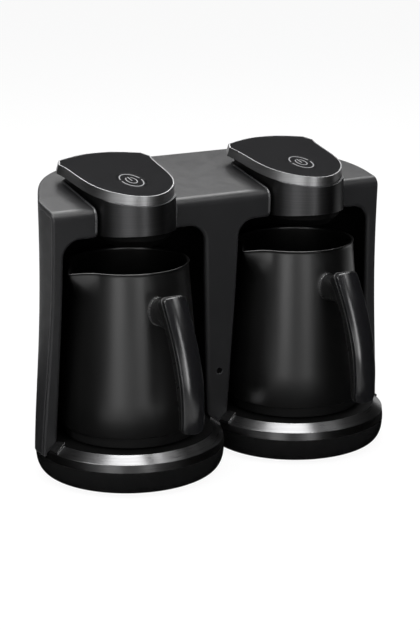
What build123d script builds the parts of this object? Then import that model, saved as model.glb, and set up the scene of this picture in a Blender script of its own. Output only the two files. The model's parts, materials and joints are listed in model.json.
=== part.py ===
from build123d import *
from math import asin, cos, degrees, pi, radians, sin, sqrt, tan
import os

os.makedirs("parts", exist_ok=True)

# Twin electric coffee maker. Millimetres, Z up, front is -Y, floor at z = 0.
# Two stations stand side by side, each with a tilted head, a niche and a pot.

# ---- driving dimensions ------------------------------------------------------
STATION_X = 65.0          # each station's centre from the middle plane
SIDES = (("left", -1), ("right", 1))
CENTRE_Y = 12.85          # moves the finished parts so that y = 0 is the middle of the whole

# casing
CASING_LOW = 20.5         # lower edge of the casing walls
CASING_HALF = ((14.0, 132.1), (60.0, 129.4), (105.0, 126.2), (150.0, 124.6), (214.0, 124.4))
BACK_Y = 65.8
CORNER_X = 60.0           # where the flat back ends and the round corner starts
CORNER_CURVE = ((0.972, 0.200), (0.832, 0.501), (0.643, 0.751), (0.450, 0.885), (0.220, 0.972))
FRONT_Y = -14.0           # front face at z = FRONT_Z
FRONT_Z = 156.0
FRONT_LEAN = 0.0522       # the front face recedes this much per mm downwards
TOP_Z = 187.8             # top face at y = 0
TOP_TILT = 10.6           # degrees, rising to the back
BEND_R = 6.4              # bend between front and top
COVER_T = 3.2
SHELL_T = 2.2
SEAM = 0.35

# bay in the front cover and notch for the head
BAY_TOP_Z = 166.2
BAY_HALF = ((18.0, 57.4), (47.0, 56.2), (112.0, 53.2), (162.0, 51.8))
BAY_CORNER_R = 12.0
NOTCH_HALF = 27.6
NOTCH_BACK_Y = 41.0
NOTCH_CORNER_R = 5.0
SHOULDER_R = 2.5          # where bay and notch meet
LIP_R = 2.4               # rounding of the edges of bays and notches
COVER_EDGE_R = 1.0

# base
BOWL_R = 64.4
BOWL_FLAT_R = 55.4
BOWL_TOP_Z = 18.0
FOOT_H = 1.5
PAN_T = 2.4
RING_LOW_Z, RING_MID_Z, RING_TOP_Z = 18.1, 23.3, 28.2
RING_LOW_R, RING_MID_R, RING_TOP_R = 64.4, 63.85, 57.6
RING_BACK_Y = 6.0
PAN_FRONT_Y = 0.0
PAN_INSET = 5.0
PAN_LOW_HALF = 131.6      # half-width the pan is drawn in from
PAN_STEPS = ((0.0, 13.0), (4.5, 6.5))   # height above the pan's floor, draw-in
PLATFORM_R = 57.3
PLATFORM_T = 2.4
PAD_NEAR, PAD_DEEP, PAD_H = 7.5, 14.7, 1.3   # raised pad beside each foot of the cover
PAD_OUT_R, PAD_IN_R = 63.2, 56.4

# niche liner
NICHE_LOW_Z, NICHE_TOP_Z = 28.6, 169.2
NICHE_LOW_R, NICHE_TOP_R = 57.0, 52.6
LINER_T = 1.8

# head
HEAD_TILT = 9.67          # degrees, rising to the back
HEAD_Y, HEAD_Z = 3.54, 202.6
BAND_H = 6.3
PLATE_T = 1.5
PLATE_HALF = ((9.0, -36.4), (17.5, -30.2), (22.9, -23.8), (26.6, -17.2), (28.9, -10.6),
              (30.3, -3.5), (31.2, 5.0), (31.7, 14.0), (32.3, 23.0))
PLATE_TIP_Y = -38.6
PLATE_EAR = (33.9, 32.0)
PLATE_CHAMFER = (30.6, 39.5)
PLATE_BACK = ((20.0, 43.8), (10.0, 46.5))
PLATE_BACK_Y = 47.3
DRUM_HALF = ((8.0, -38.2), (15.0, -34.2), (20.3, -29.6), (24.2, -24.4), (26.2, -19.2))
DRUM_TIP_Y = -39.8
DRUM_SIDE = 26.8
DRUM_BACK_Y = 38.0
DRUM_T = 2.2
DRUM_MID_Y = -12.0
DRUM_TIP_LOW_Z, DRUM_LOW_Z = 170.1, 167.3   # underside at the tip and at the cover
DRUM_STEP_Y = -12.6       # behind this the underside is level
DRUM_REAR_Z = 171.2
BAND_FLARE = 1.0          # the band's lower edge stands this far out
BAND_EDGE = 0.75          # bright rim around the plate
BAND_FLANGE = 1.6
BUTTON_Y = -8.2
BUTTON_HALF = (8.6, 13.2)   # oval cap, across and along the head
BUTTON_PLAY = 0.3
BUTTON_STEM_R = 3.0
BUTTON_T = 2.4
BUTTON_TRAVEL = 0.8
STEM_DROP = 13.0
ICON_HALF, ICON_W = (7.0, 11.4), 0.9
ICON_GAP, ICON_GAP_Y = 2.6, 1.1
SYMBOL_HALF, SYMBOL_W, SYMBOL_GAP = (3.3, 5.6), 0.85, 2.9
SYMBOL_BAR = (-0.9, 6.2)
ICON_DEPTH = 0.5
BOARD_W, BOARD_L, BOARD_T = 42.0, 44.0, 1.6
BOARD_DROP = 18.0
SWITCH_H = 3.6
POD_LOW_Z, POD_BACK_Y = 160.6, 24.0
LENS_Y, LENS_R = -4.0, 4.5

# electrics
POWER_W, POWER_H = 64.0, 86.0
POWER_Y, POWER_Z = 55.5, 108.0
BLOCK_HALF, BLOCK_H, BLOCK_MID_Z = 14.0, 17.0, 37.2
BLOCK_FRONT_Y, BLOCK_BACK_Y = 48.2, 58.5
PIN_X = (-8.0, 0.0, 8.0)
PIN_Z, PIN_R, PIN_TIP_Y = 33.4, 1.5, 36.0
SLEEVE_Y, SLEEVE_R, SLEEVE_L = 33.5, 2.6, 9.0

# pot, relative to its axis
POT_Y = -2.0
POT_RIM_R, POT_RIM_Z = 39.8, 145.7
POT_LOW_R, POT_LOW_Z = 48.5, 36.3
POT_T = 1.2
POT_FLOOR_Z = 39.5
HEATER_T = 1.75
SPOUT_ANGLE = 193.0       # degrees in plan, measured from +X
SPOUT_ROOT_R = 30.0
SPOUT = ((124.0, 4.0, 41.3, 2.0), (136.0, 9.5, 43.8, 3.0), (145.7, 15.5, 49.4, 3.6))   # z, half, tip, rounding
HANDLE_SCREW_Z = 120.5

POT_BASE_R, POT_BASE_Z = 45.5, 28.5

# handle, (y, z) from top to bottom on the station's middle plane
HANDLE_FRONT = [(-68.5, 137.8), (-78.2, 122.6), (-84.7, 110.6), (-89.7, 99.0), (-93.5, 87.0),
                (-95.4, 74.0), (-95.5, 61.0), (-93.9, 50.0)]
HANDLE_BACK = [(-58.0, 131.6), (-66.2, 120.2), (-73.6, 107.6), (-78.6, 96.8), (-82.3, 85.4),
               (-84.7, 73.5), (-86.0, 61.5), (-86.1, 51.5)]
RIM_SHARE, SEAM_SHARE = 0.40, 0.62   # how far back the grip's rim and the cover's seat lie
GRIP_HALF = (9.1, 8.0)    # half-width at the top and at the bottom
COVER_HALF = (8.2, 7.2)
CROWN_HALF, CROWN_RISE, CROWN_DEPTH = 9.5, 3.6, 10.0   # the cover's front is domed across
COVER_SHORT = (2.0, 1.2)  # how far the cover stops short of the grip's ends
GRIP_CORNER = (3.6, 4.8)  # rounding of the ends in front view
COVER_CORNER = (2.6, 3.8)
COVER_PLAY = 0.12
COVER_EDGE_SOFT, GRIP_BACK_R, GRIP_RIM_R = 0.7, 2.2, 0.6
BOSS_L = 27.0
BOSS_W, BOSS_H = 12.4, 17.6
HANDLE_BOSS_Y = -45.5
SCREW_HEAD_Y = -67.0
SCREW_HEAD_R, SCREW_HEAD_H, SCREW_R = 3.8, 2.0, 2.0

COLUMN_SCREW_Z, COLUMN_SCREW_R, COLUMN_SCREW_SINK = 60.5, 2.2, 1.5
GLAND_Z, GLAND_NECK_R = 40.0, 6.0


def front_y(z):
    """Outer face of the front cover at height z."""
    return FRONT_Y + (FRONT_Z - z) * FRONT_LEAN


def top_z(y):
    """Outer face of the top at depth y."""
    return TOP_Z + y * tan(radians(TOP_TILT))


def head_plane(drop, x=0.0):
    """Plane parallel to the head plate, drop mm under its face, origin on the station axis line."""
    return Plane(
        origin=(x, HEAD_Y + drop * sin(radians(HEAD_TILT)), HEAD_Z - drop * cos(radians(HEAD_TILT))),
        x_dir=(1, 0, 0),
        z_dir=(0, -sin(radians(HEAD_TILT)), cos(radians(HEAD_TILT))),
    )


# ---- casing forms ------------------------------------------------------------
def casing_face(z, w, back, front=-40.0):
    """Plan of the casing at height z for half-width w, cut off straight at y = front."""
    curve = [(CORNER_X + (w - CORNER_X) * u, back * v) for u, v in CORNER_CURVE]
    with BuildSketch(Plane.XY.offset(z)) as plan:
        with BuildLine():
            Line((-w, -40), (w, -40))
            Line((w, -40), (w, 0))
            Spline((w, 0), *curve, (CORNER_X, back), tangents=[(0, 1), (-1, 0)])
            Line((CORNER_X, back), (-CORNER_X, back))
            Spline((-CORNER_X, back), *[(-x, y) for x, y in reversed(curve)], (-w, 0),
                   tangents=[(-1, 0), (0, -1)])
            Line((-w, 0), (-w, -40))
        make_face()
        if front > -40:
            with Locations((0, front - 100)):
                Rectangle(400, 200, mode=Mode.SUBTRACT)
    return plan.sketch.faces()[0]


def casing_loft(inset):
    """The casing's outer form, drawn in by inset, before front and top are cut."""
    with BuildPart() as form:
        loft(sections=[casing_face(z, half - inset, BACK_Y - inset) for z, half in CASING_HALF])
    return form.part


def side_profile(depth, radius, low):
    """Everything behind the front face and under the top face, both drawn in by depth."""
    slope = tan(radians(TOP_TILT))
    z_off = depth / cos(radians(TOP_TILT))
    y_off = depth * sqrt(1 + FRONT_LEAN ** 2)

    def y_at(z):
        return front_y(z) + y_off

    corner_z = (TOP_Z - z_off + slope * (FRONT_Y + FRONT_Z * FRONT_LEAN + y_off)) / (1 + slope * FRONT_LEAN)
    corner = (y_at(corner_z), corner_z)
    with BuildPart() as block:
        with BuildSketch(Plane.YZ):
            with BuildLine():
                Polyline((y_at(low), low), corner, (90, top_z(90) - z_off), (90, low), close=True)
            make_face()
            fillet(vertices().sort_by_distance(corner)[0], radius)
        extrude(amount=150, both=True)
    return block.part


outer_form = casing_loft(0) & side_profile(0, BEND_R, CASING_LOW)
wedge = side_profile(COVER_T, BEND_R - COVER_T, 0)
shell_wedge = side_profile(COVER_T + SEAM, BEND_R - COVER_T - SEAM, 0)
inner_form = casing_loft(SHELL_T)


def opening_cutter(x):
    """One bay through the front, joined to the slot for the head through front and top."""
    right = [(x + h, z) for z, h in BAY_HALF]
    left = [(x - h, z) for z, h in BAY_HALF]
    top_half = BAY_HALF[-1][1] - 0.1
    with BuildPart() as cutter:
        with BuildSketch(Plane.XZ.offset(40)):
            with BuildLine():
                Spline(*right)
                Line(right[-1], (x + top_half, BAY_TOP_Z))
                Line((x + top_half, BAY_TOP_Z), (x - top_half, BAY_TOP_Z))
                Line((x - top_half, BAY_TOP_Z), left[-1])
                Spline(*left)
                Line(left[0], right[0])
            make_face()
        extrude(amount=-45)
        fillet(cutter.edges().filter_by(Axis.Y).group_by(Axis.Z)[-1], BAY_CORNER_R)
        with BuildSketch(Plane.XY.offset(BAY_TOP_Z - 2)):
            with Locations((x, (NOTCH_BACK_Y - 40) / 2)):
                Rectangle(2 * NOTCH_HALF, NOTCH_BACK_Y + 40)
        extrude(amount=60)
        fillet(cutter.edges().filter_by(Axis.Z).group_by(Axis.Y)[-1], NOTCH_CORNER_R)
        shoulders = cutter.edges().filter_by(Axis.Y).filter_by(
            lambda e: abs(e.center().Z - BAY_TOP_Z) < 0.01 and abs(abs(e.center().X - x) - NOTCH_HALF) < 0.01)
        fillet(shoulders, SHOULDER_R)
    return cutter.part


def ring_clearance(x, gap):
    """Space the base ring needs, so the cover's feet stop short of it."""
    slope = (RING_TOP_Z - RING_MID_Z) / (RING_MID_R - RING_TOP_R)
    high_r = 50.0
    high_z = RING_MID_Z + gap + (RING_MID_R - high_r) * slope
    with BuildPart() as ring:
        with BuildSketch(Plane.XZ):
            with BuildLine():
                Polyline((0, 10), (RING_LOW_R + gap, 10), (RING_LOW_R + gap, RING_LOW_Z),
                         (RING_MID_R + gap, RING_MID_Z + 0.3 * gap), (high_r, high_z), (0, high_z),
                         close=True)
            make_face()
        revolve(axis=Axis.Z)
    return ring.part.moved(Location((x, 0, 0)))


# ---- front cover -------------------------------------------------------------
def bend_centre():
    """Centre of the bend between front and top, in the YZ plane."""
    slope = tan(radians(TOP_TILT))
    z_off, y_off = BEND_R / cos(radians(TOP_TILT)), BEND_R * sqrt(1 + FRONT_LEAN ** 2)
    z = (TOP_Z - z_off + slope * (FRONT_Y + FRONT_Z * FRONT_LEAN + y_off)) / (1 + slope * FRONT_LEAN)
    return front_y(z) + y_off, z


BEND_Y, BEND_Z = bend_centre()


def on_cover_face(p):
    """Whether a point lies on the cover's outer face: front, bend or top."""
    if p.Z < BEND_Z + 1 and abs(p.Y - front_y(p.Z)) < 0.05:
        return True
    if p.Y > BEND_Y - 2 and abs(p.Z - top_z(p.Y)) < 0.05:
        return True
    from_centre = sqrt((p.Y - BEND_Y) ** 2 + (p.Z - BEND_Z) ** 2)
    return p.Y < BEND_Y and p.Z > BEND_Z and abs(from_centre - BEND_R) < 0.05


def is_crossing(e):
    """Edges that run straight across in X or lie on the lower end."""
    a, b = e @ 0, e @ 1
    level = abs(a.Z - b.Z) < 1e-3 and abs(a.Y - b.Y) < 1e-3
    return level and (a.Z > 172 and a.Y < 0 or a.Z < CASING_LOW + 0.1)


with BuildPart() as front_cover:
    add(outer_form)
    add(wedge, mode=Mode.SUBTRACT)
    for side, sign in SIDES:
        add(opening_cutter(sign * STATION_X), mode=Mode.SUBTRACT)
        add(ring_clearance(sign * STATION_X, 0.5), mode=Mode.SUBTRACT)
    face_edges = front_cover.edges().filter_by(
        lambda e: all(on_cover_face(e @ t) for t in (0, 0.5, 1)) and not is_crossing(e))
    rim_edges = face_edges.filter_by(
        lambda e: abs((e @ 0.5).X) > 124 or (e @ 0.5).Y > 60
        or ((e @ 0.5).Y > 41.5 and abs((e @ 0.5).X) > 104))
    lip_edges = ShapeList([e for e in face_edges if e not in rim_edges and (e @ 0.5).Z > 30])
    fillet(lip_edges, LIP_R)
    fillet(front_cover.edges().filter_by(lambda e: any(e.is_same(r) for r in rim_edges)), COVER_EDGE_R)
    with BuildSketch(Plane.XZ.offset(30)):
        with Locations((0, COLUMN_SCREW_Z)):
            Circle(COLUMN_SCREW_R + 0.1)
    extrude(amount=-60, mode=Mode.SUBTRACT)


# ---- rear shell --------------------------------------------------------------
with BuildPart() as rear_shell:
    add(casing_loft(0) & shell_wedge)
    add(inner_form, mode=Mode.SUBTRACT)
    with BuildSketch(Plane.XY.offset(-20)):
        Rectangle(400, 400)
    extrude(amount=20 + CASING_LOW, mode=Mode.SUBTRACT)
    # hole for the cord gland in the back wall
    with BuildSketch(Plane.XZ.offset(-80)):
        with Locations((0, GLAND_Z)):
            Circle(GLAND_NECK_R + 0.2)
    extrude(amount=30, mode=Mode.SUBTRACT)


# ---- base pan ----------------------------------------------------------------
def bowl(inset, low):
    """One bowl of the pan about the Z axis, filled, drawn in by inset, its floor at z = low."""
    side, depth = BOWL_R - BOWL_FLAT_R, BOWL_TOP_Z - low
    steps = (0.15, 0.35, 0.55, 0.75, 0.9)
    curve = [(BOWL_FLAT_R + side * sin(t * pi / 2) ** 0.8 - inset,
              BOWL_TOP_Z - depth * cos(t * pi / 2) ** 0.8) for t in steps]
    with BuildPart() as body:
        with BuildSketch(Plane.XZ):
            with BuildLine():
                Line((0, low), (BOWL_FLAT_R - inset, low))
                Spline((BOWL_FLAT_R - inset, low), *curve, (BOWL_R - inset, BOWL_TOP_Z),
                       tangents=[(1, 0), (0, 1)])
                Line((BOWL_R - inset, BOWL_TOP_Z), (0, BOWL_TOP_Z))
                Line((0, BOWL_TOP_Z), (0, low))
            make_face()
        revolve(axis=Axis.Z)
    return body.part


def rear_block(inset, low):
    """The pan between and behind the bowls, filled."""
    with BuildPart() as block:
        loft(sections=[casing_face(z, PAN_LOW_HALF - d - inset, BACK_Y - d - inset, PAN_FRONT_Y + inset)
                       for z, d in [(low + h, d) for h, d in PAN_STEPS] + [(BOWL_TOP_Z, PAN_INSET)]])
    return block.part


BASE_SCREWS = [(r * STATION_X + 44 * cos(radians(a)), 44 * sin(radians(a)))
               for r in (-1, 1) for a in (45, 135, 225, 315)]
FEET = [(s * x, y) for s in (-1, 1) for x, y in ((65, -46), (104, 22), (27, 48))]

with BuildPart() as base_pan:
    for side, sign in SIDES:
        add(bowl(0, FOOT_H).moved(Location((sign * STATION_X, 0, 0))))
    add(rear_block(0, FOOT_H))
    for side, sign in SIDES:
        add(bowl(PAN_T, FOOT_H + PAN_T).moved(Location((sign * STATION_X, 0, 0))), mode=Mode.SUBTRACT)
    add(rear_block(PAN_T, FOOT_H + PAN_T), mode=Mode.SUBTRACT)
    # raised rim that closes the casing at the back
    outer_rim = casing_face(BOWL_TOP_Z - 2, PAN_LOW_HALF - PAN_INSET, BACK_Y - PAN_INSET, 12)
    inner_rim = casing_face(BOWL_TOP_Z - 2, PAN_LOW_HALF - PAN_INSET - 2, BACK_Y - PAN_INSET - 2, 10)
    extrude(outer_rim - inner_rim, amount=9)
    with BuildSketch(Plane.XY):
        with Locations(*BASE_SCREWS):
            Circle(3.4)
        with Locations(*FEET):
            Circle(3.0)
        with Locations((-STATION_X, 0), (STATION_X, 0)):
            with GridLocations(7, 40, 7, 1):
                SlotOverall(22, 2.4, rotation=90)
    extrude(amount=FOOT_H + PAN_T + 0.1, mode=Mode.SUBTRACT)

with BuildPart() as rubber_feet:
    with BuildSketch(Plane.XY):
        with Locations(*FEET):
            Circle(7.5)
    extrude(amount=FOOT_H)
    with BuildSketch(Plane.XY):
        with Locations(*FEET):
            Circle(3.0)
    extrude(amount=FOOT_H + PAN_T)

with BuildPart() as base_screws:
    with BuildSketch(Plane.XY.offset(2.0)):
        with Locations(*BASE_SCREWS):
            Circle(3.2)
    extrude(amount=1.9)
    with BuildSketch(Plane.XY.offset(2.0)):
        with Locations(*BASE_SCREWS):
            Circle(1.6)
    extrude(amount=14)
    with BuildSketch(Plane.XY.offset(2.0)):
        with Locations(*BASE_SCREWS):
            Rectangle(3.6, 0.8)
            Rectangle(0.8, 3.6)
    extrude(amount=0.8, mode=Mode.SUBTRACT)


# ---- ring and platform -------------------------------------------------------
def ring_pad(near_angle, sweep_angle):
    """Pad standing on the ring's upper bevel, between two directions from the Z axis."""
    run, rise = RING_MID_R - RING_TOP_R, RING_TOP_Z - RING_MID_Z
    length = sqrt(run ** 2 + rise ** 2)
    up_r, up_z = PAD_H * rise / length, PAD_H * run / length

    def bevel_z(r):
        return RING_MID_Z + (RING_MID_R - r) * rise / run

    with BuildPart() as pad:
        with BuildSketch(Plane.XZ):
            with BuildLine():
                Polyline((PAD_OUT_R, bevel_z(PAD_OUT_R) - 0.6), (PAD_OUT_R + up_r, bevel_z(PAD_OUT_R) + up_z),
                         (PAD_IN_R + up_r, bevel_z(PAD_IN_R) + up_z), (PAD_IN_R, RING_TOP_Z + 0.05),
                         (RING_TOP_R + 0.05, RING_TOP_Z + 0.05), (RING_TOP_R + 0.6, RING_TOP_Z - 1.2),
                         close=True)
            make_face()
        revolve(axis=Axis.Z, revolution_arc=sweep_angle)
    return pad.part.rotate(Axis.Z, near_angle)


def base_ring(x):
    pad_from = degrees(asin(PAD_NEAR / RING_TOP_R))
    pad_sweep = degrees(asin(PAD_DEEP / RING_TOP_R)) - pad_from
    with BuildPart() as ring:
        with BuildSketch(Plane.XZ):
            with BuildLine():
                Polyline((RING_LOW_R, RING_LOW_Z), (RING_MID_R, RING_MID_Z), (RING_TOP_R, RING_TOP_Z),
                         (RING_TOP_R, RING_TOP_Z - 2.2), (RING_MID_R - 1.8, RING_MID_Z - 1.2),
                         (RING_LOW_R - 2.0, RING_LOW_Z), close=True)
            make_face()
            fillet(vertices().sort_by_distance((RING_MID_R, RING_MID_Z))[0], 0.4)
        revolve(axis=Axis.Z)
        with BuildSketch(Plane.XY):
            with Locations((0, RING_BACK_Y + 50)):
                Rectangle(200, 100)
        extrude(amount=60, mode=Mode.SUBTRACT)
        add(ring_pad(180 + pad_from, pad_sweep))
        add(ring_pad(360 - pad_from - pad_sweep, pad_sweep))
    return ring.part.moved(Location((x, 0, 0)))


def platform(x):
    with BuildPart() as body:
        with BuildSketch(Plane.XY.offset(RING_TOP_Z - PLATFORM_T)):
            Circle(PLATFORM_R)
        extrude(amount=PLATFORM_T)
        with BuildSketch(Plane.XY.offset(BOWL_TOP_Z + 0.6)):
            Circle(PLATFORM_R - 1.2)
            Circle(PLATFORM_R - 3.0, mode=Mode.SUBTRACT)
        extrude(amount=RING_TOP_Z - PLATFORM_T - BOWL_TOP_Z - 0.6)
        with BuildSketch(Plane.XY.offset(FOOT_H + PAN_T + 0.1)):
            with PolarLocations(44, 4, 45):
                Circle(4.2)
        extrude(amount=RING_TOP_Z - PLATFORM_T - FOOT_H - PAN_T - 0.1)
        with BuildSketch(Plane.XY.offset(FOOT_H)):
            with PolarLocations(44, 4, 45):
                Circle(1.6)
        extrude(amount=14.6, mode=Mode.SUBTRACT)
    return body.part.moved(Location((x, 0, 0)))


# ---- niche liner -------------------------------------------------------------
def niche_face(z, r):
    with BuildSketch(Plane.XY.offset(z)) as sk:
        with BuildLine():
            Line((-r, -20), (r, -20))
            Line((r, -20), (r, 0))
            CenterArc((0, 0), r, 0, 180)
            Line((-r, 0), (-r, -20))
        make_face()
    return sk.sketch.faces()[0]


def niche_form(grow, low, high):
    def radius(z):
        share = (z - NICHE_LOW_Z) / (NICHE_TOP_Z - NICHE_LOW_Z)
        return NICHE_LOW_R + (NICHE_TOP_R - NICHE_LOW_R) * share + grow

    with BuildPart() as form:
        loft(sections=[niche_face(z, radius(z)) for z in (low, high)])
    return form.part


def niche_liner(x):
    front = side_profile(COVER_T + SEAM, BEND_R - COVER_T - SEAM, 0)
    with BuildPart() as liner:
        add(niche_form(LINER_T, NICHE_LOW_Z, NICHE_TOP_Z + LINER_T))
        add(niche_form(0, NICHE_LOW_Z - 1, NICHE_TOP_Z), mode=Mode.SUBTRACT)
        add(front, mode=Mode.INTERSECT)
        # passage for the pins' block at the foot of the rear wall
        with BuildSketch(Plane.XZ.offset(-48)):
            with Locations((0, BLOCK_MID_Z)):
                Rectangle(2 * BLOCK_HALF + 0.6, BLOCK_H + 0.6)
        extrude(amount=-20, mode=Mode.SUBTRACT)
    return liner.part.moved(Location((x, 0, 0)))


def connector_block(x):
    with BuildPart() as block:
        with BuildSketch(Plane.XZ.offset(-BLOCK_FRONT_Y)):
            with Locations((0, BLOCK_MID_Z)):
                RectangleRounded(2 * BLOCK_HALF, BLOCK_H, 2.5)
        extrude(amount=-(BLOCK_BACK_Y - BLOCK_FRONT_Y))
        with BuildSketch(Plane.XZ.offset(-BLOCK_FRONT_Y + 1)):
            with Locations(*[(p, PIN_Z) for p in PIN_X]):
                Circle(PIN_R)
        extrude(amount=-30, mode=Mode.SUBTRACT)
    return block.part.moved(Location((x, 0, 0)))


def contact_pins(x):
    with BuildPart() as pins:
        with BuildSketch(Plane.XZ.offset(-PIN_TIP_Y)):
            with Locations(*[(p, PIN_Z) for p in PIN_X]):
                Circle(PIN_R)
        extrude(amount=-(BLOCK_BACK_Y + 3 - PIN_TIP_Y))
        chamfer(pins.edges().group_by(Axis.Y)[0], 0.5)
    return pins.part.moved(Location((x, 0, 0)))


# ---- head --------------------------------------------------------------------
def plate_face(drop, grow, x=0.0):
    """Outline of the head plate, grown by about grow, in the plane drop mm below the plate's face."""
    k = cos(radians(HEAD_TILT))

    def at(px, py):
        return px * (1 + grow / 32.0), (py - HEAD_Y) / k * (1 + grow / 43.0)

    right = [at(*p) for p in PLATE_HALF] + [at(*PLATE_EAR)]
    left = [(-px, py) for px, py in reversed(right)]
    corner = at(*PLATE_CHAMFER)
    back = [at(*p) for p in PLATE_BACK]
    with BuildSketch(head_plane(drop, x)) as sk:
        with BuildLine():
            Spline(*left, at(0, PLATE_TIP_Y), *right)
            Line(right[-1], corner)
            Spline(corner, *back, at(0, PLATE_BACK_Y), *[(-px, py) for px, py in reversed(back)],
                   (-corner[0], corner[1]))
            Line((-corner[0], corner[1]), left[0])
        make_face()
    return sk.sketch.faces()[0]


def drum_face(z, shrink, back, x=0.0):
    """Plan of the drum, drawn in by about shrink, cut off straight at y = back."""
    def at(px, py):
        return px * (1 - shrink / 27.0), DRUM_MID_Y + (py - DRUM_MID_Y) * (1 - shrink / 28.0)

    right = [at(*p) for p in DRUM_HALF] + [at(DRUM_SIDE, DRUM_MID_Y)]
    left = [(-px, py) for px, py in reversed(right)]
    with BuildSketch(Plane.XY.offset(z)) as sk:
        with Locations((x, 0)):
            with BuildLine():
                Spline(*left, at(0, DRUM_TIP_Y), *right, tangents=[(0, -1), (0, 1)])
                Line(right[-1], (right[-1][0], back))
                Line((right[-1][0], back), (left[0][0], back))
                Line((left[0][0], back), left[0])
            make_face()
    return sk.sketch.faces()[0]


def under_cut(rise, low):
    """Everything below the drum's underside: sloped in front of the cover, level behind it."""
    with BuildPart() as cut:
        with BuildSketch(Plane.YZ):
            with BuildLine():
                Polyline((-60, low), (-60, DRUM_TIP_LOW_Z + 1.6 + rise), (DRUM_STEP_Y, DRUM_LOW_Z + rise),
                         (DRUM_STEP_Y, DRUM_REAR_Z + rise), (60, DRUM_REAR_Z + rise), (60, low), close=True)
            make_face()
        extrude(amount=40, both=True)
    return cut.part


def above_band(drop):
    """Everything above the plane drop mm under the head plate's face."""
    with BuildPart() as cut:
        with BuildSketch(head_plane(drop)):
            Rectangle(120, 160)
        extrude(amount=60)
    return cut.part


def drum_form(shrink, rise):
    """Filled form of the drum, drawn in by shrink and with its underside raised by rise."""
    with BuildPart() as form:
        extrude(drum_face(150, shrink, DRUM_BACK_Y - shrink), amount=60)
        add(under_cut(rise, 140), mode=Mode.SUBTRACT)
    return form.part


def board_posts():
    """Four posts on the drum's floor under the control board."""
    with BuildPart() as posts:
        with BuildSketch(head_plane(BOARD_DROP + BOARD_T)):
            with GridLocations(BOARD_W - 6, BOARD_L - 6, 2, 2):
                Circle(2.4)
        extrude(amount=-20)
        add(drum_form(0.5, 0.5), mode=Mode.INTERSECT)
    return posts.part


def head_body(x):
    with BuildPart() as drum:
        add(drum_form(0, 0))
        add(above_band(BAND_H), mode=Mode.SUBTRACT)
        add(drum_form(DRUM_T, DRUM_T), mode=Mode.SUBTRACT)
        add(board_posts())
    return drum.part.moved(Location((x, 0, 0)))


def head_band(x):
    with BuildPart() as band:
        loft(sections=[plate_face(BAND_H, BAND_FLARE), plate_face(0, 0)])
        extrude(plate_face(BAND_H - BAND_FLANGE, -2.4), amount=20, mode=Mode.SUBTRACT)
        extrude(plate_face(BAND_H + 1, -7.2), amount=20, mode=Mode.SUBTRACT)
        extrude(plate_face(PLATE_T, BAND_EDGE * -1), amount=20, mode=Mode.SUBTRACT)
    return band.part.moved(Location((x, 0, 0)))


def button_sketch(drop, half):
    """Oval of half (across, along) on the button's axis, drop mm under the plate's face."""
    with BuildSketch(head_plane(drop)) as sk:
        with Locations((0, (BUTTON_Y - HEAD_Y) / cos(radians(HEAD_TILT)))):
            Ellipse(*half)
    return sk.sketch.faces()[0]


def head_plate(x):
    with BuildPart() as plate:
        extrude(plate_face(PLATE_T - 0.05, -BAND_EDGE - 0.15), amount=PLATE_T - 0.05)
        hole = (BUTTON_HALF[0] + BUTTON_PLAY, BUTTON_HALF[1] + BUTTON_PLAY)
        extrude(button_sketch(PLATE_T + 1, hole), amount=PLATE_T + 2, mode=Mode.SUBTRACT)
    return plate.part.moved(Location((x, 0, 0)))


def icon_plane(drop):
    """Plane drop mm under the plate's face with its origin on the button's axis."""
    plane = head_plane(drop)
    return plane.shift_origin(plane.from_local_coords((0, (BUTTON_Y - HEAD_Y) / cos(radians(HEAD_TILT)), 0)))


def oval_line(half, width):
    """Oval line of the given width around half (across, along)."""
    Ellipse(half[0] + width / 2, half[1] + width / 2)
    Ellipse(half[0] - width / 2, half[1] - width / 2, mode=Mode.SUBTRACT)


def icon_faces(drop):
    """Two arcs of an oval and a power symbol, as faces in the plane drop mm under the plate's face."""
    with BuildSketch(icon_plane(drop)) as arcs:
        oval_line(ICON_HALF, ICON_W)
        with Locations((0, ICON_GAP_Y)):
            Rectangle(4 * ICON_HALF[0], ICON_GAP, mode=Mode.SUBTRACT)
    with BuildSketch(icon_plane(drop)) as symbol:
        oval_line(SYMBOL_HALF, SYMBOL_W)
        with Locations((0, SYMBOL_HALF[1])):
            Rectangle(SYMBOL_GAP, SYMBOL_HALF[1], mode=Mode.SUBTRACT)
        with Locations((0, sum(SYMBOL_BAR) / 2)):
            Rectangle(SYMBOL_W, SYMBOL_BAR[1] - SYMBOL_BAR[0])
    return arcs.sketch.faces() + symbol.sketch.faces()


def power_button(x):
    with BuildPart() as cap:
        extrude(button_sketch(BUTTON_T, BUTTON_HALF), amount=BUTTON_T)
        extrude(button_sketch(STEM_DROP, (BUTTON_STEM_R, BUTTON_STEM_R + 0.01)), amount=STEM_DROP - BUTTON_T)
        extrude(icon_faces(ICON_DEPTH), amount=ICON_DEPTH + 1, mode=Mode.SUBTRACT)
    return cap.part.moved(Location((x, 0, 0)))


def power_icon(x):
    with BuildPart() as icon:
        extrude(icon_faces(ICON_DEPTH), amount=ICON_DEPTH)
    return icon.part.moved(Location((x, 0, 0)))


def control_board(x):
    with BuildPart() as board:
        with BuildSketch(head_plane(BOARD_DROP + BOARD_T)):
            RectangleRounded(BOARD_W, BOARD_L, 2)
        extrude(amount=BOARD_T)
    return board.part.moved(Location((x, 0, 0)))


def tact_switch(x):
    with BuildPart() as switch:
        with BuildSketch(head_plane(BOARD_DROP)):
            with Locations((0, (BUTTON_Y - HEAD_Y) / cos(radians(HEAD_TILT)))):
                Rectangle(6, 6)
        extrude(amount=SWITCH_H)
        extrude(button_sketch(BOARD_DROP - SWITCH_H, (1.7, 1.71)),
                amount=BOARD_DROP - SWITCH_H - STEM_DROP - BUTTON_TRAVEL - 0.05)
    return switch.part.moved(Location((x, 0, 0)))


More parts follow.
